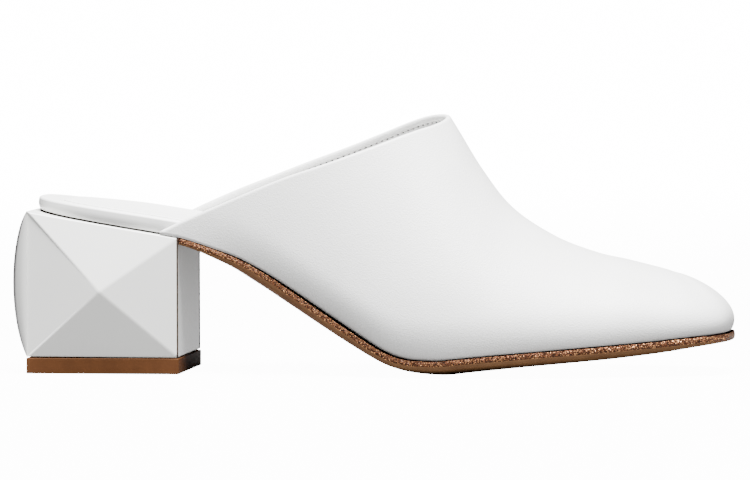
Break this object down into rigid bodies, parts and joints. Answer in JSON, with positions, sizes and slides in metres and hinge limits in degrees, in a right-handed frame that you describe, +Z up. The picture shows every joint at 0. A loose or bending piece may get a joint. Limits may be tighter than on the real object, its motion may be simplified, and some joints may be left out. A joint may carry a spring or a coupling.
{
  "type": "heeled mule",
  "caption": "Closed-toe mule with a soft square toe, a leather outsole and a block heel with pyramid-faceted sides and a pillow-shaped back; right shoe",
  "frame": {"origin": "on the floor, under the middle of the shoe's bounding box", "axes": "+X from heel to toe, +Y from the outer to the inner side of the foot, +Z up"},
  "size_m": [0.244, 0.0812, 0.0867],
  "materials": {
    "upper_leather": "smooth white leather with a fine grain",
    "footbed_leather": "smooth white leather, wrapped",
    "sock_leather": "smooth white lining leather",
    "sole_leather": "waxed tan bottom with a copper glitter edge",
    "heel_lacquer": "white satin lacquer",
    "lift_rubber": "plain brown"
  },
  "bodies": {
    "root": {"upper": "upper_leather", "footbed": "footbed_leather", "sock_lining": "sock_leather", "outsole": "sole_leather", "heel_block": "heel_lacquer", "top_lift": "lift_rubber"}
  },
  "joints": []
}
